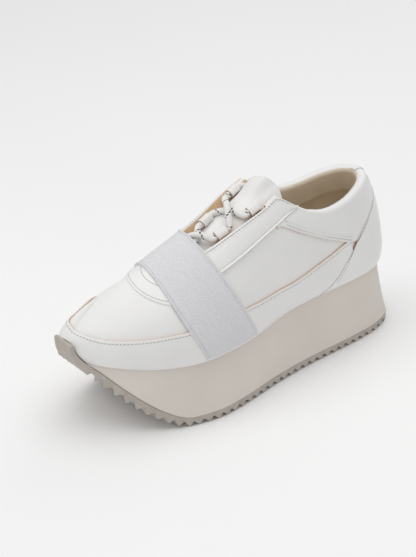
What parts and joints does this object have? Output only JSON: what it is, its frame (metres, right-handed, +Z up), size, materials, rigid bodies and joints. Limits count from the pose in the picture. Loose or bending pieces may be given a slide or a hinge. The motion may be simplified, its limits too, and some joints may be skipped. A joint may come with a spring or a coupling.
{
  "type": "platform sneaker",
  "caption": "Low platform sneaker with a tall flared midsole, a serrated outsole that turns up at the toe, a hollow upper, an elastic strap over the vamp and a round lace in folded loops.",
  "frame": {"origin": "middle of the bounding box's base, on the floor", "axes": "+X from the heel towards the toe, +Y towards the outer side of a left shoe, +Z up"},
  "size_m": [0.2794, 0.0982, 0.139],
  "materials": {
    "outsole": "matte",
    "midsole": "matte",
    "insole": "matte",
    "upper": "smooth satin",
    "tongue": "smooth satin",
    "elastic_strap": "woven",
    "lace_loop": "smooth satin",
    "lace": "braided"
  },
  "bodies": {
    "root": {"outsole": "outsole", "midsole": "midsole", "insole": "insole", "upper": "upper", "tongue": "tongue", "elastic_strap": "elastic_strap", "lace_loop_lateral_top": "lace_loop", "lace_loop_lateral_low": "lace_loop", "lace_loop_medial_top": "lace_loop", "lace_loop_medial_low": "lace_loop", "lace_crossing_top": "lace", "lace_crossing_low": "lace", "lace_end": "lace"}
  },
  "joints": []
}
